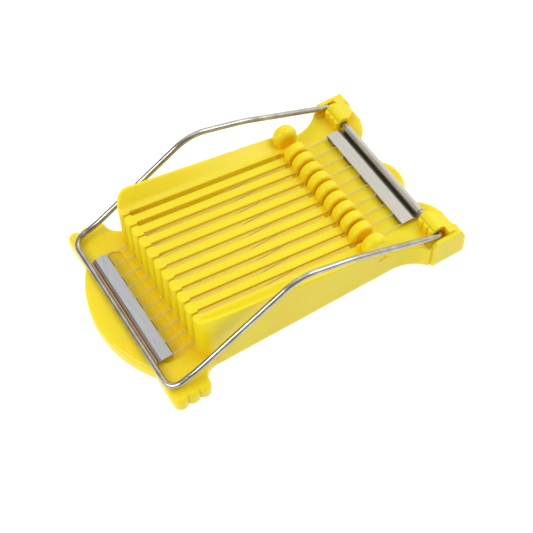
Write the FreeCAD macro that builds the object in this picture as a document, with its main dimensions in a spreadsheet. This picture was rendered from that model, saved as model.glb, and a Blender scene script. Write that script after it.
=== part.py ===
import FreeCAD, Part
import math
import os
import Sketcher
from FreeCAD import Placement, Rotation, Vector

# Luncheon slicer: a moulded base with a slotted tray, and a steel bail hinged at the back that carries ten
# cutting wires between two folded strips. +X runs from the head end to the tail end, +Z is up, and the origin
# is on the table under the middle of the base. All sizes are in millimetres.

dimensions = {
    # moulded base, plan
    "half_length": 100.0,
    "plate_front": 87.0,
    "head_half": 39.8,
    "head_radius": 67.4,
    "side_half": 50.0,
    "toe_start": 87.5,
    "toe_line": 61.8,
    "toe_side": 59.0,
    "toe_root": 55.0,
    "toe_first": 79.7,
    "toe_pitch": 6.9,
    "toe_last": 65.1,
    "toe_radius": 4.3,
    "ankle_end": 53.5,
    "ankle_radius": 9.8,
    "heel_start": 58.0,
    "heel_end": 77.0,
    "heel_half": 58.6,
    "heel_radius": 25.4,
    "foot_front": 78.5,
    "foot_half": 60.4,
    "foot_corner": 1.6,
    "foot_front_round": 3.0,
    "foot_rear_round": 16.0,
    "rear_edge": 88.4,
    "rear_edge_half": 27.0,
    "rear_corner": 97.5,
    "rear_corner_half": 42.0,
    "rear_corner_radius": 18.0,
    "tail_centre": 79.2,
    "tail_radius": 19.2,
    # moulded base, heights
    "plate_top": 8.0,
    "rear_plate_top": 15.5,
    "tail_top": 9.0,
    "edge_round": 2.2,
    "tail_round": 2.6,
    "wall": 2.4,
    "plate_thick": 4.0,
    # tray
    "tray_front": 62.0,
    "tray_rear": 48.0,
    "tray_blank": 49.0,
    "tray_corner": 10.2,
    "trough_front": 66.0,
    "trough_rear": 62.0,
    "trough_clear": 62.0,
    "floor_front": 38.3,
    "floor_rear": 19.6,
    "rim_front": 48.4,
    "rim_rear": 21.6,
    "floor_half": 40.4,
    "floor_round": 7.0,
    "rim_round": 1.2,
    "floor_thick": 2.0,
    # slots and combs
    "wire_pitch": 8.2,
    "wire_count": 10,
    "slot_front": 57.0,
    "slot_rear": 41.0,
    "slot_width": 3.2,
    "slit_width": 1.2,
    "slit_floor": 9.4,
    "slit_mouth": 2.2,
    "gap_width": 1.4,
    "gap_floor": 16.0,
    # knuckles
    "knuckle_centre": 47.4,
    "knuckle_arch": 7.1,
    "knuckle_root": 14.0,
    "knuckle_shoulder": 23.9,
    "knuckle_width": 6.6,
    "knuckle_round": 2.1,
    "end_knuckle_half": 45.2,
    "end_knuckle_arch": 7.2,
    "end_knuckle_width": 8.8,
    "end_knuckle_shoulder": 26.8,
    "end_knuckle_round": 3.6,
    # front well
    "well_front": 81.0,
    "well_rear": 66.4,
    "well_half": 39.4,
    "well_corner": 4.0,
    "well_depth": 1.8,
    # hinge lugs
    "lug_inner": 40.0,
    "lug_nose": 82.8,
    "lug_nose_top": 22.2,
    "lug_crest": 86.4,
    "lug_top": 23.6,
    "lug_tail": 95.0,
    "lug_tail_top": 19.8,
    "lug_rear": 98.4,
    "lug_rear_top": 12.0,
    "lug_rear_round": 12.0,
    "lug_nose_round": 3.0,
    "cheek_top": 19.8,
    "cheek_inner": 57.8,
    "groove_face": 53.4,
    "groove_end": 89.4,
    "groove_floor": 14.6,
    "ridge_radius": 2.3,
    "ridge_pitch": 4.4,
    "ridge_top": 21.4,
    "bore_radius": 1.76,
    "lug_facet": 86.0,
    "lug_facet_half": 49.0,
    # bail
    "rod_radius": 1.7,
    "pivot_across": 85.5,
    "pivot_up": 18.8,
    "bar_across": 86.3,
    "bar_up": 10.0,
    "arm_half": 55.6,
    "knee_across": 70.0,
    "knee_up": 16.4,
    "knee_radius": 60.0,
    "bend_across": 8.0,
    "bend_up": 53.2,
    "bend_radius": 24.0,
    "bar_corner": 7.0,
    "pivot_corner": 2.0,
    "rod_end": 30.0,
    "bow_across": 26.0,
    "bow_up": 43.2,
    "bow_radius": 110.0,
    # strips and wires
    "sheet": 0.5,
    "strip_half": 37.8,
    "lip_drop": 2.4,
    "front_flange_near": 1.72,
    "front_flange_top": 0.6,
    "front_channel_low": 1.5,
    "front_flat_near": 4.6,
    "front_flat_far": 11.4,
    "front_flat_up": 1.4,
    "rear_flat_near": 5.8,
    "rear_flat_far": 13.2,
    "rear_flat_up": 0.4,
    "rear_channel_low": 1.9,
    "hem_radius": 1.72,
    "hem_half": 36.0,
    "wire_radius": 0.22,
    "wire_hole": 0.25,
    "wire_drop": 1.3,
    "bead_radius": 0.6,
    "bead_length": 0.8,
}

# Edges are picked by place, to within this distance.
NEAR = 0.01

doc = FreeCAD.newDocument("slicer")
sheet = doc.addObject("Spreadsheet::Sheet", "sizes")


class Size:
    # A length known both as a number, to draw with, and as sheet text, to bind with.
    def __init__(self, number, text):
        self.number = number
        self.text = text

    def joined(self, other, sign, result):
        return Size(result, f"({self.text} {sign} {as_size(other).text})")

    def __add__(self, other):
        return self.joined(other, "+", self.number + as_size(other).number)

    def __sub__(self, other):
        return self.joined(other, "-", self.number - as_size(other).number)

    def __mul__(self, other):
        return self.joined(other, "*", self.number * as_size(other).number)

    def __truediv__(self, other):
        return self.joined(other, "/", self.number / as_size(other).number)

    def __neg__(self):
        return Size(-self.number, f"(-1 * {self.text})")


def as_size(value):
    return value if isinstance(value, Size) else Size(float(value), repr(float(value)))


class Sizes:
    pass


s = Sizes()
for row, (alias, number) in enumerate(dimensions.items(), start=1):
    sheet.set(f"A{row}", alias)
    sheet.set(f"B{row}", str(number))
    sheet.setAlias(f"B{row}", alias)
    setattr(s, alias, Size(float(number), f"sizes.{alias}"))
doc.recompute()


def bind(target, field, size):
    target.setExpression(field, as_size(size).text)


def new_body(label):
    body = doc.addObject("PartDesign::Body", label)
    body.Label = label
    return body


def origin_part(body, role):
    return next(part for part in body.Origin.OriginFeatures if part.Role == role)


def new_sketch(body, name, plane, offset=None):
    sketch = body.newObject("Sketcher::SketchObject", name)
    sketch.AttachmentSupport = [(origin_part(body, plane), "")]
    sketch.MapMode = "FlatFace"
    if offset is not None:
        sketch.AttachmentOffset = Placement(Vector(0, 0, as_size(offset).number), Rotation())
        bind(sketch, ".AttachmentOffset.Base.z", offset)
    return sketch


def pin(sketch, geometry, place, across, up):
    for kind, size in (("DistanceX", across), ("DistanceY", up)):
        size = as_size(size)
        index = sketch.addConstraint(Sketcher.Constraint(kind, -1, 1, geometry, place, size.number))
        bind(sketch, f"Constraints[{index}]", size)


def arc_between(start, end, radius, turn):
    # The short arc from start to end; a turn of 1 bulges to the right of travel and -1 to the left.
    chord = end - start
    half = chord.Length / 2
    rise = radius - math.sqrt(max(radius**2 - half**2, 0.0))
    side = Vector(chord.y, -chord.x, 0).normalize() * turn
    return Part.Arc(start, (start + end) * 0.5 + side * rise, end)


def closed_outline(sketch, corners):
    # Each corner is (across, up) or (across, up, radius, turn): the radius bends the edge that leaves it.
    points = [Vector(as_size(c[0]).number, as_size(c[1]).number, 0) for c in corners]
    edges = []
    for i, corner in enumerate(corners):
        start, end = points[i], points[(i + 1) % len(points)]
        if len(corner) == 2:
            shape = Part.LineSegment(start, end)
        else:
            shape = arc_between(start, end, as_size(corner[2]).number, corner[3])
        edges.append(sketch.addGeometry(shape, False))
    # An arc runs counter-clockwise, so the end where a travelled arc starts depends on its bulge.
    ends = []
    for edge, corner in zip(edges, corners):
        forward = len(corner) == 2 or corner[3] > 0
        ends.append((edge, 1, 2) if forward else (edge, 2, 1))
    for i, corner in enumerate(corners):
        edge, first, last = ends[i]
        following, next_first, _ = ends[(i + 1) % len(corners)]
        sketch.addConstraint(Sketcher.Constraint("Coincident", edge, last, following, next_first))
        pin(sketch, edge, first, corner[0], corner[1])
        if len(corner) > 2:
            radius = as_size(corner[2])
            index = sketch.addConstraint(Sketcher.Constraint("Radius", edge, radius.number))
            bind(sketch, f"Constraints[{index}]", radius)


def add_circle(sketch, across, up, radius):
    centre = Vector(as_size(across).number, as_size(up).number, 0)
    circle = sketch.addGeometry(Part.Circle(centre, Vector(0, 0, 1), as_size(radius).number), False)
    pin(sketch, circle, 3, across, up)
    index = sketch.addConstraint(Sketcher.Constraint("Radius", circle, as_size(radius).number))
    bind(sketch, f"Constraints[{index}]", radius)


def both_sides(half, closing=()):
    # Repeats a half outline of the +Y side on the -Y side; closing bends the edge that joins its two ends.
    other = []
    for i in range(len(half) - 1, -1, -1):
        bend = half[i - 1][2:] if i > 0 else closing
        other.append((half[i][0], -half[i][1], *bend))
    return half + other


def rectangle(x_low, x_high, y_low, y_high):
    return [(x_low, y_low), (x_high, y_low), (x_high, y_high), (x_low, y_high)]


def pad(body, name, sketch, length, midplane=False, reversed_side=False):
    feature = body.newObject("PartDesign::Pad", name)
    feature.Profile = sketch
    bind(feature, "Length", length)
    feature.Midplane = midplane
    feature.Reversed = reversed_side
    doc.recompute()
    return feature


def cut(body, name, sketch, length, midplane=False, reversed_side=False):
    before = body.Shape.Volume
    feature = body.newObject("PartDesign::Pocket", name)
    feature.Profile = sketch
    bind(feature, "Length", length)
    feature.Midplane = midplane
    feature.Reversed = reversed_side
    doc.recompute()
    if body.Shape.Volume > before - 0.01:
        raise RuntimeError(f"{name} cuts nothing")
    return feature


def row_of(body, name, feature, length, count):
    pattern = body.newObject("PartDesign::LinearPattern", name)
    pattern.Originals = [feature]
    pattern.Direction = (origin_part(body, "Y_Axis"), [""])
    bind(pattern, "Length", length)
    bind(pattern, "Occurrences", count)
    body.Tip = pattern
    doc.recompute()
    return pattern


def mirror_across(body, name, features):
    mirrored = body.newObject("PartDesign::Mirrored", name)
    mirrored.Originals = features
    mirrored.MirrorPlane = (origin_part(body, "XZ_Plane"), [""])
    body.Tip = mirrored
    doc.recompute()
    return mirrored


def rounded(body, name, feature, radius, chosen):
    edges = [f"Edge{i}" for i, edge in enumerate(feature.Shape.Edges, start=1) if chosen(edge)]
    if not edges:
        raise RuntimeError(f"{name} finds no edge")
    fillet = body.newObject("PartDesign::Fillet", name)
    fillet.Base = (feature, edges)
    bind(fillet, "Radius", radius)
    doc.recompute()
    return fillet


def level(edge, height):
    return all(abs(v.Point.z - height) < NEAR for v in edge.Vertexes)


def base_front_plate(body):
    half = [
        (-s.plate_front, s.head_half),
        (-s.toe_start, s.toe_root),
        (-s.toe_start, s.toe_side, s.toe_radius, -1),
        (-s.toe_first, s.toe_line, s.toe_radius, -1),
        (-s.toe_first + s.toe_pitch, s.toe_line, s.toe_radius, -1),
        (-s.toe_last, s.toe_side, s.ankle_radius, 1),
        (-s.ankle_end, s.side_half),
    ]
    sketch = new_sketch(body, "front_outline", "XY_Plane")
    closed_outline(sketch, both_sides(half, (s.head_radius, -1)))
    plate = pad(body, "front_plate", sketch, s.plate_top)
    top = s.plate_top.number
    rear = -s.ankle_end.number
    return rounded(
        body, "front_plate_round", plate, s.edge_round,
        lambda e: level(e, top) and not all(abs(v.Point.x - rear) < NEAR for v in e.Vertexes),
    )


def base_rear_plate(body):
    half = [
        (s.knuckle_centre - s.knuckle_arch, s.side_half),
        (s.heel_start, s.side_half, s.heel_radius, 1),
        (s.heel_end, s.heel_half),
        (s.lug_tail, s.heel_half),
        (s.rear_corner, s.rear_corner_half, s.rear_corner_radius, -1),
        (s.rear_edge, s.rear_edge_half),
    ]
    sketch = new_sketch(body, "rear_outline", "XY_Plane")
    closed_outline(sketch, both_sides(half))
    pad(body, "rear_plate", sketch, s.rear_plate_top)
    tail = new_sketch(body, "tail_outline", "XY_Plane")
    add_circle(tail, s.tail_centre, 0, s.tail_radius)
    disc = pad(body, "tail_disc", tail, s.tail_top)
    top = s.tail_top.number
    rounded(body, "tail_disc_round", disc, s.tail_round, lambda e: level(e, top))


def base_lugs(body):
    foot = new_sketch(body, "foot_profile", "XZ_Plane", s.groove_face)
    closed_outline(foot, [
        (s.foot_front, 0),
        (s.half_length, 0),
        (s.half_length, s.lug_rear_top - s.foot_corner, s.foot_rear_round, 1),
        (s.lug_tail + s.foot_corner, s.cheek_top),
        (s.foot_front + s.foot_front_round, s.cheek_top, s.foot_front_round, 1),
        (s.foot_front, s.cheek_top - s.foot_front_round),
    ])
    foot_pad = pad(body, "foot", foot, s.foot_half - s.groove_face)
    boss = new_sketch(body, "boss_profile", "XZ_Plane", s.lug_inner)
    closed_outline(boss, [
        (s.lug_nose, 0),
        (s.lug_rear, 0),
        (s.lug_rear, s.lug_rear_top, s.lug_rear_round, 1),
        (s.lug_tail, s.lug_tail_top),
        (s.lug_crest, s.lug_top, s.lug_nose_round, 1),
        (s.lug_nose, s.lug_nose_top),
    ])
    boss_pad = pad(body, "boss", boss, s.cheek_inner - s.lug_inner)
    ridges = new_sketch(body, "ridge_outline", "XY_Plane")
    for i in range(3):
        add_circle(ridges, s.lug_nose, -s.lug_inner - s.ridge_radius - s.ridge_pitch * i, s.ridge_radius)
    ridge_pad = pad(body, "ridges", ridges, s.ridge_top)
    mirror_across(body, "far_lug", [foot_pad, boss_pad, ridge_pad])


def base_tray(body):
    outline = new_sketch(body, "tray_outline", "XY_Plane")
    half_outline = [
        (-s.tray_front, s.side_half - s.tray_corner, s.tray_corner, -1),
        (-s.tray_front + s.tray_corner, s.side_half),
        (s.tray_rear, s.side_half),
    ]
    closed_outline(outline, both_sides(half_outline))
    pad(body, "tray_block", outline, s.tray_blank)
    sections = []
    for name, across, floor, rim in (
        ("trough_front_section", -s.trough_front, s.floor_front, s.rim_front),
        ("trough_rear_section", s.trough_rear, s.floor_rear, s.rim_rear),
    ):
        section = new_sketch(body, name, "YZ_Plane", across)
        half_section = [(s.side_half, rim), (s.side_half + s.wall, rim), (s.side_half + s.wall, s.trough_clear)]
        floor_edge = (s.floor_half, floor)
        right = [floor_edge] + half_section
        left = [(-y, z) for y, z in reversed(right)]
        closed_outline(section, right + left)
        sections.append(section)
    trough = body.newObject("PartDesign::SubtractiveLoft", "trough")
    trough.Profile = sections[0]
    trough.Sections = [sections[1]]
    trough.Ruled = True
    doc.recompute()
    floor_half = s.floor_half.number
    side_half = s.side_half.number

    def along_side(edge, half):
        return edge.BoundBox.XLength > 60 and all(abs(abs(v.Point.y) - half) < NEAR for v in edge.Vertexes)

    def is_rim(edge):
        return edge.BoundBox.ZMin > s.rim_rear.number and along_side(edge, side_half)

    bend = rounded(body, "trough_bend", trough, s.floor_round, lambda e: along_side(e, floor_half))
    rounded(body, "rim_round", bend, s.rim_round, is_rim)


def knuckle_corners(arch, shoulder):
    front = s.knuckle_centre - arch
    rear = s.knuckle_centre + arch
    return [
        (front, s.knuckle_root),
        (front, shoulder, arch, -1),
        (s.knuckle_centre, shoulder + arch, arch, -1),
        (rear, shoulder),
        (rear, s.knuckle_root),
    ]


def base_knuckles(body):
    inner = s.wire_count - 2
    first = s.wire_pitch * inner / 2
    profile = new_sketch(body, "knuckle_profile", "XZ_Plane", first)
    closed_outline(profile, knuckle_corners(s.knuckle_arch, s.knuckle_shoulder))
    knuckle = pad(body, "knuckle", profile, s.knuckle_width, midplane=True)
    row = row_of(body, "knuckle_row", knuckle, s.wire_pitch * inner, inner + 1)
    rows = [(i - inner.number / 2) * s.wire_pitch.number for i in range(int(inner.number) + 1)]
    sides = [y + side * s.knuckle_width.number / 2 for y in rows for side in (-1, 1)]

    def is_crest(edge, planes, shoulder, arch):
        box = edge.BoundBox
        flat = box.YLength < NEAR and any(abs(box.YMin - y) < NEAR for y in planes)
        front = s.knuckle_centre.number - arch.number
        return flat and box.ZMax > shoulder.number - NEAR and box.XMin > front - NEAR

    rounded(
        body, "knuckle_round", row, s.knuckle_round,
        lambda e: is_crest(e, sides, s.knuckle_shoulder, s.knuckle_arch),
    )
    profile = new_sketch(body, "end_knuckle_profile", "XZ_Plane", s.end_knuckle_half)
    closed_outline(profile, knuckle_corners(s.end_knuckle_arch, s.end_knuckle_shoulder))
    end = pad(body, "end_knuckle", profile, s.end_knuckle_width, midplane=True)
    ends = mirror_across(body, "far_end_knuckle", [end])
    reach = s.end_knuckle_width.number / 2
    sides = [side * (s.end_knuckle_half.number + step * reach) for side in (-1, 1) for step in (-1, 1)]
    rounded(
        body, "end_knuckle_round", ends, s.end_knuckle_round,
        lambda e: is_crest(e, sides, s.end_knuckle_shoulder, s.end_knuckle_arch),
    )


def floor_height(across):
    slope = (s.floor_rear - s.floor_front) / (s.trough_front + s.trough_rear)
    return s.floor_front + slope * (across + s.trough_front)


def base_hollow(body):
    # The hollow narrows at the front so that the tray's round corners keep their wall.
    front = -s.tray_front + s.wall
    corner = -s.tray_front + s.tray_corner
    for name, low, high, half in (
        ("hollow_nose", front, corner, s.side_half - s.tray_corner + s.wall),
        ("hollow", corner, s.slot_rear, s.side_half - s.wall),
    ):
        profile = new_sketch(body, f"{name}_profile", "XZ_Plane")
        closed_outline(profile, [
            (low, 0),
            (high, 0),
            (high, floor_height(high) - s.floor_thick),
            (low, floor_height(low) - s.floor_thick),
        ])
        cut(body, name, profile, half * 2, midplane=True)
    profile = new_sketch(body, "rear_hollow_profile", "XZ_Plane")
    rear = s.rear_edge - s.wall
    closed_outline(profile, rectangle(s.slot_rear, rear, 0, s.rear_plate_top - s.wall))
    cut(body, "rear_hollow", profile, (s.side_half - s.wall) * 2, midplane=True)
    tail = new_sketch(body, "tail_hollow_outline", "XY_Plane")
    add_circle(tail, s.tail_centre, 0, s.tail_radius - s.wall)
    cut(body, "tail_hollow", tail, s.tail_top - s.wall, reversed_side=True)
    inner_radius = s.head_radius - s.wall * 2
    half = [
        (-s.plate_front, s.head_half - s.wall * 2),
        (-s.plate_front + s.wall, s.toe_root),
        (-s.tray_front - s.wall, s.toe_root),
        (-s.tray_front - s.wall, s.side_half - s.tray_corner),
    ]
    outline = new_sketch(body, "front_hollow_outline", "XY_Plane")
    closed_outline(outline, both_sides(half, (inner_radius, -1)))
    cut(body, "front_hollow", outline, s.plate_top - s.plate_thick, reversed_side=True)


def slit_corners(middle):
    # A narrow slit in the front wall whose mouth is rounded, so that each rib ends in a round nose.
    half = s.slit_width / 2
    mouth = half + s.slit_mouth
    bend = -s.tray_front + s.slit_mouth
    return [
        (-s.tray_front - s.wall, middle - mouth),
        (-s.tray_front, middle - mouth, s.slit_mouth, -1),
        (bend, middle - half),
        (-s.slot_front, middle - half),
        (-s.slot_front, middle + half),
        (bend, middle + half, s.slit_mouth, -1),
        (-s.tray_front, middle + mouth),
        (-s.tray_front - s.wall, middle + mouth),
    ]


def base_slots(body):
    first = -s.wire_pitch * (s.wire_count - 1) / 2
    slot_low = first - s.slot_width / 2
    slot_high = first + s.slot_width / 2
    gap_low = first - s.gap_width / 2
    gap_high = first + s.gap_width / 2
    for name, corners, bottom in (
        ("slot", rectangle(-s.slot_front, s.slot_rear, slot_low, slot_high), s.slit_floor),
        ("slit", slit_corners(first), s.slit_floor),
        ("gap", rectangle(s.slot_rear - s.wall, s.heel_start, gap_low, gap_high), s.gap_floor),
    ):
        sketch = new_sketch(body, f"{name}_outline", "XY_Plane", bottom)
        closed_outline(sketch, corners)
        opening = cut(body, name, sketch, s.tray_blank, reversed_side=True)
        row_of(body, f"{name}_row", opening, -first * 2, s.wire_count)


def base_details(body):
    well = new_sketch(body, "well_outline", "XY_Plane", s.plate_top)
    half = [
        (-s.well_front, s.well_half - s.well_corner, s.well_corner, -1),
        (-s.well_front + s.well_corner, s.well_half),
        (-s.well_rear - s.well_corner, s.well_half, s.well_corner, -1),
        (-s.well_rear, s.well_half - s.well_corner),
    ]
    closed_outline(well, both_sides(half))
    cut(body, "well", well, s.well_depth)
    groove = new_sketch(body, "groove_profile", "XZ_Plane", s.groove_face)
    closed_outline(groove, rectangle(s.foot_front - s.wall, s.groove_end, s.groove_floor, s.tray_blank))
    groove_cut = cut(body, "groove", groove, s.cheek_inner - s.groove_face, reversed_side=True)
    bore = new_sketch(body, "bore_profile", "XZ_Plane", s.lug_inner - s.wall)
    add_circle(bore, s.pivot_across, s.pivot_up, s.bore_radius)
    bore_cut = cut(body, "bore", bore, s.groove_face - s.lug_inner + s.wall * 2, reversed_side=True)
    facet = new_sketch(body, "facet_outline", "XY_Plane", s.rear_plate_top)
    closed_outline(facet, [
        (s.lug_facet, -s.lug_inner + s.wall),
        (s.half_length, -s.lug_inner + s.wall),
        (s.half_length, -s.lug_facet_half),
    ])
    facet_cut = cut(body, "facet", facet, s.tray_blank, reversed_side=True)
    mirror_across(body, "far_hinge", [groove_cut, bore_cut, facet_cut])


base = new_body("base")
for stage in (
    base_front_plate, base_tray, base_rear_plate, base_lugs, base_knuckles, base_hollow, base_slots, base_details
):
    stage(base)


def bent_path(points, radii):
    # Straight runs between the points, with a tangent arc of the given radius at each inner point.
    edges = []
    start = points[0]
    for before, corner, after, radius in zip(points, points[1:], points[2:], radii):
        back = (before - corner).normalize()
        ahead = (after - corner).normalize()
        half_turn = (math.pi - back.getAngle(ahead)) / 2
        reach = radius * math.tan(half_turn)
        middle = (back + ahead).normalize()
        inside = corner + middle * (radius / math.cos(half_turn) - radius)
        edges.append(Part.LineSegment(start, corner + back * reach).toShape())
        edges.append(Part.Arc(corner + back * reach, inside, corner + ahead * reach).toShape())
        start = corner + ahead * reach
    edges.append(Part.LineSegment(start, points[-1]).toShape())
    return Part.Wire(edges)


def make_bail():
    pivot = (s.pivot_across.number, s.pivot_up.number)
    stations = [
        (pivot, s.rod_end, None),
        (pivot, s.arm_half, s.pivot_corner),
        ((s.bow_across.number, s.bow_up.number), s.arm_half, s.bow_radius),
        ((-s.bend_across.number, s.bend_up.number), s.arm_half, s.bend_radius),
        ((-s.knee_across.number, s.knee_up.number), s.arm_half, s.knee_radius),
        ((-s.bar_across.number, s.bar_up.number), s.arm_half, s.bar_corner),
    ]
    near = [Vector(x, -half.number, z) for (x, z), half, _ in stations]
    far = [Vector(x, half.number, z) for (x, z), half, _ in reversed(stations)]
    near_radii = [radius.number for _, _, radius in stations[1:]]
    path = bent_path(near + far, near_radii + near_radii[::-1])
    circle = Part.Circle(near[0], Vector(0, 1, 0), s.rod_radius.number).toShape()
    bail = doc.addObject("Part::Feature", "bail")
    bail.Label = "bail"
    bail.Shape = path.makePipeShell([Part.Wire(circle)], True, False)
    return bail


def wire_holes(body, across, up):
    first = s.wire_pitch * (s.wire_count - 1) / 2
    sketch = new_sketch(body, f"{body.Label}_hole", "YZ_Plane", across)
    add_circle(sketch, -first, up, s.wire_hole)
    hole = cut(body, f"{body.Label}_wire_hole", sketch, s.sheet * 4, midplane=True)
    row_of(body, f"{body.Label}_wire_holes", hole, first * 2, s.wire_count)


def make_front_strip():
    body = new_body("front_strip")
    x = -s.bar_across
    z = s.bar_up
    flat = z + s.front_flat_up
    flange = x + s.front_flange_near
    low = z - s.front_channel_low
    profile = new_sketch(body, "front_strip_profile", "XZ_Plane")
    closed_outline(profile, [
        (flange, z + s.front_flange_top),
        (flange, low),
        (flange + s.sheet * 1.5, low),
        (x + s.front_flat_near + s.sheet / 2, flat - s.sheet),
        (x + s.front_flat_far - s.sheet, flat - s.sheet),
        (x + s.front_flat_far - s.sheet, flat - s.lip_drop),
        (x + s.front_flat_far, flat - s.lip_drop),
        (x + s.front_flat_far, flat),
        (x + s.front_flat_near, flat),
        (flange + s.sheet, low + s.sheet),
        (flange + s.sheet, z + s.front_flange_top),
    ])
    pad(body, "front_strip_pad", profile, s.strip_half * 2, midplane=True)
    wire_holes(body, x + s.front_flat_far, flat - s.wire_drop)
    return body


def make_rear_strip():
    body = new_body("rear_strip")
    x = s.pivot_across
    z = s.pivot_up
    flat = z + s.rear_flat_up
    low = z - s.rear_channel_low
    outer = s.hem_radius + s.sheet
    profile = new_sketch(body, "rear_strip_profile", "XZ_Plane")
    closed_outline(profile, [
        (x - s.hem_radius + s.sheet * 1.4, low),
        (x - s.hem_radius + s.sheet / 2, low + s.sheet),
        (x - outer - s.sheet, low + s.sheet),
        (x - s.rear_flat_near, flat),
        (x - s.rear_flat_far, flat),
        (x - s.rear_flat_far, flat - s.lip_drop),
        (x - s.rear_flat_far + s.sheet, flat - s.lip_drop),
        (x - s.rear_flat_far + s.sheet, flat - s.sheet),
        (x - s.rear_flat_near - s.sheet / 2, flat - s.sheet),
        (x - outer - s.sheet, low),
    ])
    pad(body, "rear_strip_pad", profile, s.strip_half * 2, midplane=True)
    hem = new_sketch(body, "hem_profile", "XZ_Plane")
    add_circle(hem, x, z, s.hem_radius + s.sheet)
    pad(body, "hem", hem, s.hem_half * 2, midplane=True)
    core = new_sketch(body, "hem_core_profile", "XZ_Plane")
    add_circle(core, x, z, s.hem_radius)
    cut(body, "hem_core", core, s.strip_half * 3, midplane=True)
    wire_holes(body, x - s.rear_flat_far, flat - s.wire_drop)
    return body


def make_wires():
    start = Vector(
        -s.bar_across.number + s.front_flat_far.number - s.sheet.number - s.bead_length.number,
        0,
        s.bar_up.number + s.front_flat_up.number - s.wire_drop.number,
    )
    end = Vector(
        s.pivot_across.number - s.rear_flat_far.number + s.sheet.number + s.bead_length.number,
        0,
        s.pivot_up.number + s.rear_flat_up.number - s.wire_drop.number,
    )
    length = (end - start).Length
    tilt = Rotation(Vector(0, 0, 1), end - start)
    wires = []
    count = int(s.wire_count.number)
    for i in range(count):
        body = new_body(f"cutting_wire_{i + 1:02d}")
        profile = new_sketch(body, f"wire_profile_{i + 1:02d}", "XZ_Plane")
        closed_outline(profile, [
            (0, 0),
            (s.bead_radius, 0),
            (s.bead_radius, s.bead_length),
            (s.wire_radius, s.bead_length),
            (s.wire_radius, length - s.bead_length.number),
            (s.bead_radius, length - s.bead_length.number),
            (s.bead_radius, length),
            (0, length),
        ])
        turn = body.newObject("PartDesign::Revolution", f"wire_turn_{i + 1:02d}")
        turn.Profile = profile
        turn.ReferenceAxis = (profile, ["V_Axis"])
        turn.Angle = 360
        y = (i - (count - 1) / 2) * s.wire_pitch.number
        body.Placement = Placement(start + Vector(0, y, 0), tilt)
        wires.append(body)
    doc.recompute()
    return wires


parts = [base, make_bail(), make_front_strip(), make_rear_strip(), *make_wires()]
doc.recompute()
for item in doc.Objects:
    if "Invalid" in item.State or "Error" in item.State:
        raise RuntimeError(f"{item.Label} failed: {item.State}")
for item in parts:
    if item.Shape.isNull() or not item.Shape.isValid():
        raise RuntimeError(f"{item.Label} has no valid shape")
    print(item.Label, round(item.Shape.Volume, 1), len(item.Shape.Solids))
os.makedirs("parts", exist_ok=True)
for item in parts:
    item.Shape.exportStep(f"parts/{item.Label}.step")
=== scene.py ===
import math

import bpy
from mathutils import Matrix, Vector


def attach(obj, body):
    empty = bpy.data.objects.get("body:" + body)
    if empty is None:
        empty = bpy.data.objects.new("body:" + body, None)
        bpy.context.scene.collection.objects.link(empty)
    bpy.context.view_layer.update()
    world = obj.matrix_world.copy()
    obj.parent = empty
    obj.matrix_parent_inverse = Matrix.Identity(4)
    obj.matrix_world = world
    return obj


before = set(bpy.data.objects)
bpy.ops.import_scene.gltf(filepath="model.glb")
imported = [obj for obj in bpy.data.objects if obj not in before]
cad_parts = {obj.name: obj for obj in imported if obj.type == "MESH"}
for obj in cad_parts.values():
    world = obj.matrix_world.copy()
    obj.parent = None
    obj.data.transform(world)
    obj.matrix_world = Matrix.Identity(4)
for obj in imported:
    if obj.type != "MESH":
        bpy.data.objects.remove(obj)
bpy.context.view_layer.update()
scene = bpy.context.scene
print("frame loaded:", len(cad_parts), "nodes")


# camera, where the photograph was taken from: angles in degrees, lens and sensor in mm
shot = {
    "azimuth": -31.23,
    "elevation": 56.30,
    "roll": 0.96,
    "distance": 0.665,
    "slideRight": 0.00548,
    "slideUp": -0.0076,
    "lens": 79.15,
    "sensorWidth": 36.0,
    "clipStart": 0.01,
}


def addCamera():
    az = math.radians(shot["azimuth"])
    el = math.radians(shot["elevation"])
    roll = math.radians(shot["roll"])
    back = Vector((math.sin(az) * math.cos(el), -math.cos(az) * math.cos(el), math.sin(el)))
    right = Vector((math.cos(az), math.sin(az), 0.0))
    up = back.cross(right)
    place = right * shot["slideRight"] + up * shot["slideUp"] + back * shot["distance"]
    turnedRight = right * math.cos(roll) - up * math.sin(roll)
    turnedUp = right * math.sin(roll) + up * math.cos(roll)
    data = bpy.data.cameras.new("shotCamera")
    data.lens = shot["lens"]
    data.sensor_width = shot["sensorWidth"]
    data.clip_start = shot["clipStart"]
    camera = bpy.data.objects.new("shotCamera", data)
    turn = Matrix((turnedRight, turnedUp, back)).transposed().to_4x4()
    camera.matrix_world = Matrix.Translation(place) @ turn
    scene.collection.objects.link(camera)
    scene.camera = camera


addCamera()
print("camera placed")


# node helpers
def newMaterial(name):
    material = bpy.data.materials.new(name)
    material.use_nodes = True
    tree = material.node_tree
    return material, tree, tree.nodes["Principled BSDF"]


def newGroup(name, inputs, outputs):
    group = bpy.data.node_groups.new(name, "ShaderNodeTree")
    for label, kind, value in inputs:
        socket = group.interface.new_socket(label, in_out="INPUT", socket_type=kind)
        socket.default_value = value
    for label, kind in outputs:
        group.interface.new_socket(label, in_out="OUTPUT", socket_type=kind)
    return group, group.nodes.new("NodeGroupInput"), group.nodes.new("NodeGroupOutput")


def placeGroup(tree, group, **values):
    node = tree.nodes.new("ShaderNodeGroup")
    node.node_tree = group
    for label, value in values.items():
        node.inputs[label].default_value = value
    return node


def feed(tree, socket, value):
    # a link from another node's socket, or else a plain value
    if isinstance(value, bpy.types.NodeSocket):
        tree.links.new(value, socket)
    else:
        socket.default_value = value


def addMath(tree, operation, *values):
    node = tree.nodes.new("ShaderNodeMath")
    node.operation = operation
    for socket, value in zip(node.inputs, values):
        feed(tree, socket, value)
    return node.outputs[0]


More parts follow.
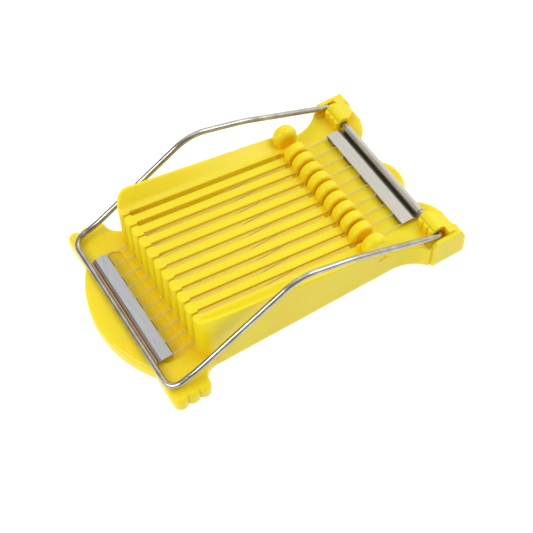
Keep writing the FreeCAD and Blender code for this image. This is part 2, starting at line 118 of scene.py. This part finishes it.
def addVectorMath(tree, operation, first, second, result):
    node = tree.nodes.new("ShaderNodeVectorMath")
    node.operation = operation
    feed(tree, node.inputs[0], first)
    feed(tree, node.inputs[1], second)
    return node.outputs[result]


def addRange(tree, value, source, target=(0.0, 1.0)):
    node = tree.nodes.new("ShaderNodeMapRange")
    tree.links.new(value, node.inputs["Value"])
    labels = ("From Min", "From Max", "To Min", "To Max")
    for label, limit in zip(labels, (*source, *target)):
        node.inputs[label].default_value = limit
    return node.outputs["Result"]


def addMix(tree, factor, first, second):
    node = tree.nodes.new("ShaderNodeMix")
    node.data_type = "RGBA"
    tree.links.new(factor, node.inputs["Factor"])
    sockets = [socket for socket in node.inputs if socket.type == "RGBA"]
    for socket, value in zip(sockets, (first, second)):
        feed(tree, socket, value)
    return next(socket for socket in node.outputs if socket.type == "RGBA")


def addNoise(tree, place, scale, detail):
    noise = tree.nodes.new("ShaderNodeTexNoise")
    tree.links.new(place, noise.inputs["Vector"])
    feed(tree, noise.inputs["Scale"], scale)
    noise.inputs["Detail"].default_value = detail
    return noise.outputs["Fac"]


def addBump(tree, height, strength, distance, normal):
    bump = tree.nodes.new("ShaderNodeBump")
    bump.inputs["Strength"].default_value = strength
    bump.inputs["Distance"].default_value = distance
    tree.links.new(height, bump.inputs["Height"])
    tree.links.new(normal, bump.inputs["Normal"])
    return bump.outputs["Normal"]


def objectPlace(tree):
    return tree.nodes.new("ShaderNodeTexCoord").outputs["Object"]


def objectAxes(tree):
    split = tree.nodes.new("ShaderNodeSeparateXYZ")
    tree.links.new(objectPlace(tree), split.inputs["Vector"])
    return split.outputs


# floor and studio light
studio = {
    "floorSize": 24.0,
    "floorDrop": 0.0003,  # a hair below the object's foot
    "floorRough": 0.9,
    "floorSpecular": 0.1,
    # a lit table: most of its white is its own, so shadows on it stay faint
    "floorColor": (0.30, 0.30, 0.30, 1.0),
    "floorGlow": (0.88, 0.88, 0.88, 1.0),
    # the floor inside the hollow base, seen through the slots alone: light off the yellow walls
    "hollowColor": (0.87, 0.73, 0.16, 1.0),
    "hollowGlow": (0.30, 0.24, 0.06, 1.0),
    "hollowHalf": {"X": 0.061, "Y": 0.0488},
    # towards the bright side of the room, and where along that axis it goes from dark to bright
    "skyAxis": (0.60, 0.30, 0.50),
    "skyLow": 0.25,
    "skyHigh": 0.56,
    "skyDark": (0.26, 0.26, 0.26, 1.0),
    "skyBright": (1.0, 1.0, 1.0, 1.0),
    "skyStrength": 1.10,
    "lampSize": 0.6,
    # place, aim, power
    "lamps": [
        ((0.85, -0.15, 0.90), (0.05, 0.0, 0.0), 3.6),
        ((-1.00, 0.06, 0.85), (-0.03, 0.0, 0.0), 7.5),
        ((-0.95, -0.40, 0.60), (-0.03, 0.0, 0.0), 1.0),
    ],
}


def hollowMask(tree):
    # 1 on the floor inside the hollow base, 0 elsewhere
    axes = objectAxes(tree)
    within = [
        addMath(tree, "LESS_THAN", addMath(tree, "ABSOLUTE", axes[axis]), half)
        for axis, half in studio["hollowHalf"].items()
    ]
    return addMath(tree, "MULTIPLY", *within)


def addFloor():
    place = (0.0, 0.0, -studio["floorDrop"])
    bpy.ops.object.select_all(action="DESELECT")
    bpy.ops.mesh.primitive_plane_add(size=studio["floorSize"], location=place)
    floor = bpy.context.active_object
    floor.name = "floor"
    bpy.ops.object.transform_apply(location=True, rotation=True, scale=True)
    material, tree, shader = newMaterial("paleFloor")
    hollow = hollowMask(tree)
    color = addMix(tree, hollow, studio["floorColor"], studio["hollowColor"])
    tree.links.new(color, shader.inputs["Base Color"])
    glow = addMix(tree, hollow, studio["floorGlow"], studio["hollowGlow"])
    tree.links.new(glow, shader.inputs["Emission Color"])
    shader.inputs["Emission Strength"].default_value = 1.0
    shader.inputs["Roughness"].default_value = studio["floorRough"]
    shader.inputs["Specular IOR Level"].default_value = studio["floorSpecular"]
    floor.data.materials.append(material)


def addSky():
    world = bpy.data.worlds.new("studio")
    scene.world = world
    world.use_nodes = True
    tree = world.node_tree
    direction = tree.nodes.new("ShaderNodeTexCoord").outputs["Generated"]
    facing = addVectorMath(tree, "DOT_PRODUCT", direction, studio["skyAxis"], "Value")
    ramp = tree.nodes.new("ShaderNodeValToRGB")
    dark, bright = ramp.color_ramp.elements
    dark.color = studio["skyDark"]
    bright.color = studio["skyBright"]
    dark.position = studio["skyLow"]
    bright.position = studio["skyHigh"]
    background = tree.nodes["Background"]
    tree.links.new(facing, ramp.inputs["Fac"])
    tree.links.new(ramp.outputs["Color"], background.inputs["Color"])
    background.inputs["Strength"].default_value = studio["skyStrength"]
    scene.view_settings.view_transform = "Standard"


def addLamps():
    for number, (place, aim, power) in enumerate(studio["lamps"], start=1):
        data = bpy.data.lights.new(f"softbox{number}", "AREA")
        data.size = studio["lampSize"]
        data.energy = power
        lamp = bpy.data.objects.new(f"softbox{number}", data)
        ray = Vector(aim) - Vector(place)
        lamp.location = place
        lamp.rotation_euler = ray.to_track_quat("-Z", "Y").to_euler()
        scene.collection.objects.link(lamp)


addFloor()
addSky()
addLamps()
print("floor and lights placed")


# shared effects
noiseSpan = (0.3, 0.7)  # where most of a noise lies

edgeLook = {
    "samples": 6,
    "radius": 0.0005,
    "bentSpan": (0.99, 0.8),  # cosine between the flat and the rounded normal
    "grimeScale": 300.0,
    "grimeDetail": 3.0,
    "grimeSpan": (0.35, 0.7),
    "patchSpan": (0.2, 1.0),  # how much of the wear the grime leaves
}


def edgeGroup():
    # a rounded normal along sharp edges, and a mask that is bright where wear would show
    group, inside, outside = newGroup(
        "edgeWear",
        [
            ("Radius", "NodeSocketFloat", edgeLook["radius"]),
            ("Grime Scale", "NodeSocketFloat", edgeLook["grimeScale"]),
        ],
        [("Wear", "NodeSocketFloat"), ("Normal", "NodeSocketVector")],
    )
    bevel = group.nodes.new("ShaderNodeBevel")
    bevel.samples = edgeLook["samples"]
    group.links.new(inside.outputs["Radius"], bevel.inputs["Radius"])
    rounded = bevel.outputs["Normal"]
    flat = group.nodes.new("ShaderNodeNewGeometry").outputs["Normal"]
    cosine = addVectorMath(group, "DOT_PRODUCT", rounded, flat, "Value")
    bent = addRange(group, cosine, edgeLook["bentSpan"])
    grimeScale = inside.outputs["Grime Scale"]
    grime = addNoise(group, objectPlace(group), grimeScale, edgeLook["grimeDetail"])
    patchy = addRange(group, grime, edgeLook["grimeSpan"], edgeLook["patchSpan"])
    group.links.new(addMath(group, "MULTIPLY", bent, patchy), outside.inputs["Wear"])
    group.links.new(rounded, outside.inputs["Normal"])
    return group


cavityLook = {
    "samples": 6,
    "reach": 0.01,
}


def cavityGroup():
    # a mask for painted shade: bright out in the open, dark down in slots, folds and corners
    group, inside, outside = newGroup(
        "cavityDepth",
        [("Reach", "NodeSocketFloat", cavityLook["reach"])],
        [("Open", "NodeSocketFloat")],
    )
    hollow = group.nodes.new("ShaderNodeAmbientOcclusion")
    hollow.samples = cavityLook["samples"]
    hollow.only_local = True
    group.links.new(inside.outputs["Reach"], hollow.inputs["Distance"])
    group.links.new(hollow.outputs["AO"], outside.inputs["Open"])
    return group


skinLook = {
    "driftScale": 18.0,
    "driftDetail": 2.0,
    "peelScale": 900.0,
    "peelDetail": 2.0,
    "scuffTimes": 9.0,  # finer than the drift
    "scuffDetail": 4.0,
}


def mouldedGroup():
    # broad tone drift, fine orange-peel height and a polish that varies, for moulded plastic
    group, inside, outside = newGroup(
        "mouldedSkin",
        [
            ("Drift Scale", "NodeSocketFloat", skinLook["driftScale"]),
            ("Peel Scale", "NodeSocketFloat", skinLook["peelScale"]),
        ],
        [
            ("Drift", "NodeSocketFloat"),
            ("Polish", "NodeSocketFloat"),
            ("Height", "NodeSocketFloat"),
        ],
    )
    place = objectPlace(group)
    driftScale = inside.outputs["Drift Scale"]
    scuffScale = addMath(group, "MULTIPLY", driftScale, skinLook["scuffTimes"])
    drift = addNoise(group, place, driftScale, skinLook["driftDetail"])
    scuff = addNoise(group, place, scuffScale, skinLook["scuffDetail"])
    peel = addNoise(group, place, inside.outputs["Peel Scale"], skinLook["peelDetail"])
    group.links.new(drift, outside.inputs["Drift"])
    group.links.new(scuff, outside.inputs["Polish"])
    group.links.new(peel, outside.inputs["Height"])
    return group


lineLook = {
    "lineScale": 400.0,
    "lineDetail": 4.0,
    "stainScale": 60.0,
    "stainDetail": 3.0,
}


def drawnGroup():
    # long fine lines left by rolling or drawing; Stretch squeezes the pattern across the lines
    group, inside, outside = newGroup(
        "drawnLines",
        [
            ("Stretch", "NodeSocketVector", (1.0, 1.0, 1.0)),
            ("Line Scale", "NodeSocketFloat", lineLook["lineScale"]),
        ],
        [("Lines", "NodeSocketFloat"), ("Stain", "NodeSocketFloat")],
    )
    place = objectPlace(group)
    squeezed = addVectorMath(group, "MULTIPLY", place, inside.outputs["Stretch"], "Vector")
    lines = addNoise(group, squeezed, inside.outputs["Line Scale"], lineLook["lineDetail"])
    stain = addNoise(group, place, lineLook["stainScale"], lineLook["stainDetail"])
    group.links.new(lines, outside.inputs["Lines"])
    group.links.new(stain, outside.inputs["Stain"])
    return group


wearEffect = edgeGroup()
cavityEffect = cavityGroup()
skinEffect = mouldedGroup()
lineEffect = drawnGroup()
print("shared effects ready")


# yellow moulded base
yellow = {
    "deep": (0.83, 0.66, 0.003, 1.0),
    "bright": (0.86, 0.72, 0.005, 1.0),
    "worn": (0.90, 0.80, 0.08, 1.0),
    "wearShare": 0.5,
    # painted warm shade down in slots and corners, and how open a place is where it comes and
    # goes
    "paintedShade": (0.93, 0.55, 0.001, 1.0),
    "cavityReach": 0.013,
    "openSpan": (0.15, 0.9),
    # dirt and painted shade on the rims of the two hinge holes: centre, radii where it fades,
    # least and most |y|
    "hingeDirtAndShade": (0.24, 0.14, 0.01, 1.0),
    "hingeCentre": {"X": 0.0855, "Z": 0.0188},
    "hingeRadii": (0.0020, 0.0030),
    "hingeSpan": (0.039, 0.0540),
    "rough": (0.28, 0.42),
    "edgeRadius": 0.0007,
    "peelStrength": 0.12,
    "peelDepth": 0.00008,
    "specular": 0.4,
    "subsurface": 0.4,
    "subsurfaceRadius": (0.008, 0.0048, 0.0004),
}


def hingeMask(tree):
    # 1 round the hinge holes of the two lugs, 0 elsewhere
    axes = objectAxes(tree)
    offsets = [
        addMath(tree, "SUBTRACT", axes[axis], middle)
        for axis, middle in yellow["hingeCentre"].items()
    ]
    squares = [addMath(tree, "MULTIPLY", offset, offset) for offset in offsets]
    radius = addMath(tree, "SQRT", addMath(tree, "ADD", *squares))
    ring = addRange(tree, radius, yellow["hingeRadii"], (1.0, 0.0))
    least, most = yellow["hingeSpan"]
    across = addMath(tree, "ABSOLUTE", axes["Y"])
    beyond = addMath(tree, "GREATER_THAN", across, least)
    within = addMath(tree, "LESS_THAN", across, most)
    return addMath(tree, "MULTIPLY", ring, addMath(tree, "MULTIPLY", beyond, within))


def yellowPlastic():
    material, tree, shader = newMaterial("yellowPlastic")
    skin = placeGroup(tree, skinEffect)
    wear = placeGroup(tree, wearEffect, Radius=yellow["edgeRadius"])
    cavity = placeGroup(tree, cavityEffect, Reach=yellow["cavityReach"])
    drift = addRange(tree, skin.outputs["Drift"], noiseSpan)
    openness = addRange(tree, cavity.outputs["Open"], yellow["openSpan"])
    rubbed = addMath(tree, "MULTIPLY", wear.outputs["Wear"], yellow["wearShare"])
    color = addMix(tree, drift, yellow["deep"], yellow["bright"])
    # painted warm shade in slots and corners, where the cavity mask falls
    color = addMix(tree, openness, yellow["paintedShade"], color)
    color = addMix(tree, rubbed, color, yellow["worn"])
    # dirt and painted shade round the hinge holes
    color = addMix(tree, hingeMask(tree), color, yellow["hingeDirtAndShade"])
    tree.links.new(color, shader.inputs["Base Color"])
    rough = addRange(tree, skin.outputs["Polish"], noiseSpan, yellow["rough"])
    tree.links.new(rough, shader.inputs["Roughness"])
    peel = (skin.outputs["Height"], yellow["peelStrength"], yellow["peelDepth"])
    normal = addBump(tree, *peel, wear.outputs["Normal"])
    tree.links.new(normal, shader.inputs["Normal"])
    shader.inputs["Specular IOR Level"].default_value = yellow["specular"]
    shader.inputs["Subsurface Weight"].default_value = yellow["subsurface"]
    shader.inputs["Subsurface Radius"].default_value = yellow["subsurfaceRadius"]
    shader.inputs["Subsurface Scale"].default_value = 1.0  # the radius is in metres
    return material


# stainless rod, strips, tabs and wires: drawn lines between two tones, and painted shade down in
# folds, which on the front strip is a painted orange reflection of the yellow base
steel = {
    "rod": {
        # both tones warmed as a painted reflection of the yellow base
        "dark": (0.36, 0.34, 0.29, 1.0),
        "light": (0.56, 0.53, 0.47, 1.0),
        "hollow": (0.20, 0.17, 0.10, 1.0),
        "metal": 1.0,
        "rough": (0.14, 0.26),
        "stretch": (0.3, 0.3, 0.3),
        "edgeRadius": 0.0002,
    },
    "frontStrip": {
        "dark": (0.40, 0.41, 0.43, 1.0),
        "light": (0.52, 0.53, 0.55, 1.0),
        # painted orange reflection of the shaded yellow base in the strip's fold
        "hollow": (0.66, 0.37, 0.04, 1.0),
        "metal": 1.0,
        "rough": (0.26, 0.38),
        "stretch": (6.0, 0.25, 6.0),
        "edgeRadius": 0.0002,
    },
    "rearStrip": {
        "dark": (0.51, 0.49, 0.43, 1.0),
        "light": (0.61, 0.59, 0.53, 1.0),
        # painted shade in the channel beside the hem
        "hollow": (0.10, 0.09, 0.07, 1.0),
        "metal": 1.0,
        "rough": (0.26, 0.38),
        "stretch": (6.0, 0.25, 6.0),
        "edgeRadius": 0.0002,
    },
    "tab": {
        # dark tones: painted shade under the strip's flat
        "dark": (0.14, 0.12, 0.09, 1.0),
        "light": (0.26, 0.23, 0.18, 1.0),
        "hollow": (0.08, 0.07, 0.05, 1.0),
        "metal": 1.0,
        "rough": (0.40, 0.55),
        "stretch": (6.0, 0.25, 6.0),
        "edgeRadius": 0.0001,
    },
    "wire": {
        # pale cream tones: painted reflected light on the steel wires
        "dark": (0.54, 0.51, 0.42, 1.0),
        "light": (0.70, 0.67, 0.56, 1.0),
        "hollow": (0.42, 0.38, 0.28, 1.0),
        "metal": 0.3,
        "rough": (0.35, 0.55),
        "stretch": (0.2, 4.0, 4.0),
        "edgeRadius": 0.0001,
    },
}

# what all of these share
steelLook = {
    "worn": (0.8, 0.8, 0.8, 1.0),
    "wearShare": 0.5,
    "cavityReach": 0.004,
    "openSpan": (0.35, 0.85),
    # the roughness follows the lines and the stain
    "lineShare": 0.6,
    "stainShare": 0.4,
    "blendSpan": (0.2, 0.8),
    "lineStrength": 0.03,
    "lineDepth": 0.00005,
}


def stainless(name):
    look = steel[name]
    material, tree, shader = newMaterial(f"{name}Steel")
    lines = placeGroup(tree, lineEffect, Stretch=look["stretch"])
    wear = placeGroup(tree, wearEffect, Radius=look["edgeRadius"])
    cavity = placeGroup(tree, cavityEffect, Reach=steelLook["cavityReach"])
    tone = addRange(tree, lines.outputs["Lines"], noiseSpan)
    openness = addRange(tree, cavity.outputs["Open"], steelLook["openSpan"])
    rubbed = addMath(tree, "MULTIPLY", wear.outputs["Wear"], steelLook["wearShare"])
    color = addMix(tree, tone, look["dark"], look["light"])
    # painted shade in folds; on the front strip, a painted orange reflection of the yellow base
    color = addMix(tree, openness, look["hollow"], color)
    color = addMix(tree, rubbed, color, steelLook["worn"])
    tree.links.new(color, shader.inputs["Base Color"])
    shader.inputs["Metallic"].default_value = look["metal"]
    stain = addMath(tree, "MULTIPLY", lines.outputs["Stain"], steelLook["stainShare"])
    blend = addMath(tree, "MULTIPLY_ADD", tone, steelLook["lineShare"], stain)
    rough = addRange(tree, blend, steelLook["blendSpan"], look["rough"])
    tree.links.new(rough, shader.inputs["Roughness"])
    grooves = (lines.outputs["Lines"], steelLook["lineStrength"], steelLook["lineDepth"])
    normal = addBump(tree, *grooves, wear.outputs["Normal"])
    tree.links.new(normal, shader.inputs["Normal"])
    return material


def paint(nodeName, material):
    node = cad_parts[nodeName]
    node.data.materials.clear()
    node.data.materials.append(material)


shadedTabSteel = stainless("tab")
wireSteel = stainless("wire")
paint("base", yellowPlastic())
paint("bail", stainless("rod"))
paint("front_strip", stainless("frontStrip"))
paint("rear_strip", stainless("rearStrip"))
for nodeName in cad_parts:
    if nodeName.startswith("cutting_wire"):
        paint(nodeName, wireSteel)
print("materials on every node")


# tabs along the strips' inner edges, one between the two wires of each pair
tabs = {
    "count": 5,
    "spacing": 0.0164,
    "width": 0.0064,
    "lean": 0.0004,  # out and down over the bend at the strip's edge
    "drop": 0.0018,  # from the bend to the tab's foot
    "splay": 0.0001,  # further out at the foot
    "thick": 0.0004,
    "bevel": 0.00012,
    "bevelSegments": 2,
    "smoothAngle": 40,  # degrees
    # edge of the strip's flat (x, z), and which way is out from it
    "front": {"edge": (-0.0749, 0.0113), "out": 1},
    "rear": {"edge": (0.0723, 0.0191), "out": -1},
}


def selectVerts(mesh, test):
    for face in mesh.polygons:
        face.select = False
    for edge in mesh.edges:
        edge.select = False
    for vert in mesh.vertices:
        vert.select = test(vert.co)


def modelTab(edge, out):
    edgeX, edgeZ = edge
    middleX = edgeX + out * tabs["lean"] / 2
    firstY = -tabs["spacing"] * (tabs["count"] - 1) / 2
    bpy.ops.object.select_all(action="DESELECT")
    bpy.ops.mesh.primitive_plane_add(size=1.0, location=(middleX, firstY, edgeZ))
    tab = bpy.context.active_object
    tab.scale = (tabs["lean"], tabs["width"], 1.0)
    bpy.ops.object.transform_apply(location=True, rotation=True, scale=True)
    # the free edge bends down, then runs on as the tab's face
    selectVerts(tab.data, lambda place: (place.x - edgeX) * out > tabs["lean"] / 2)
    bpy.ops.object.mode_set(mode="EDIT")
    bpy.ops.transform.translate(value=(0.0, 0.0, -tabs["lean"]))
    run = (out * tabs["splay"], 0.0, -tabs["drop"])
    bpy.ops.mesh.extrude_edges_move(TRANSFORM_OT_translate={"value": run})
    bpy.ops.mesh.select_all(action="SELECT")
    bpy.ops.mesh.normals_make_consistent(inside=False)
    bpy.ops.object.mode_set(mode="OBJECT")
    wall = tab.modifiers.new("wall", "SOLIDIFY")
    wall.thickness = tabs["thick"]
    wall.offset = 0.0
    soft = tab.modifiers.new("soft", "BEVEL")
    soft.width = tabs["bevel"]
    soft.segments = tabs["bevelSegments"]
    for modifierName in ("wall", "soft"):
        bpy.ops.object.modifier_apply(modifier=modifierName)
    bpy.ops.object.shade_smooth_by_angle(angle=math.radians(tabs["smoothAngle"]))
    tab.data.materials.append(shadedTabSteel)
    return tab


def addTabs(stripName):
    row = [modelTab(**tabs[stripName])]
    step = (0.0, tabs["spacing"], 0.0)
    for _ in range(tabs["count"] - 1):
        bpy.ops.object.duplicate_move(TRANSFORM_OT_translate={"value": step})
        bpy.ops.object.transform_apply(location=True, rotation=True, scale=True)
        row.append(bpy.context.active_object)
    for number, tab in enumerate(row, start=1):
        tab.name = f"{stripName}Tab{number}"
        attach(tab, "cutter")


addTabs("front")
addTabs("rear")
print("tabs on both strips")
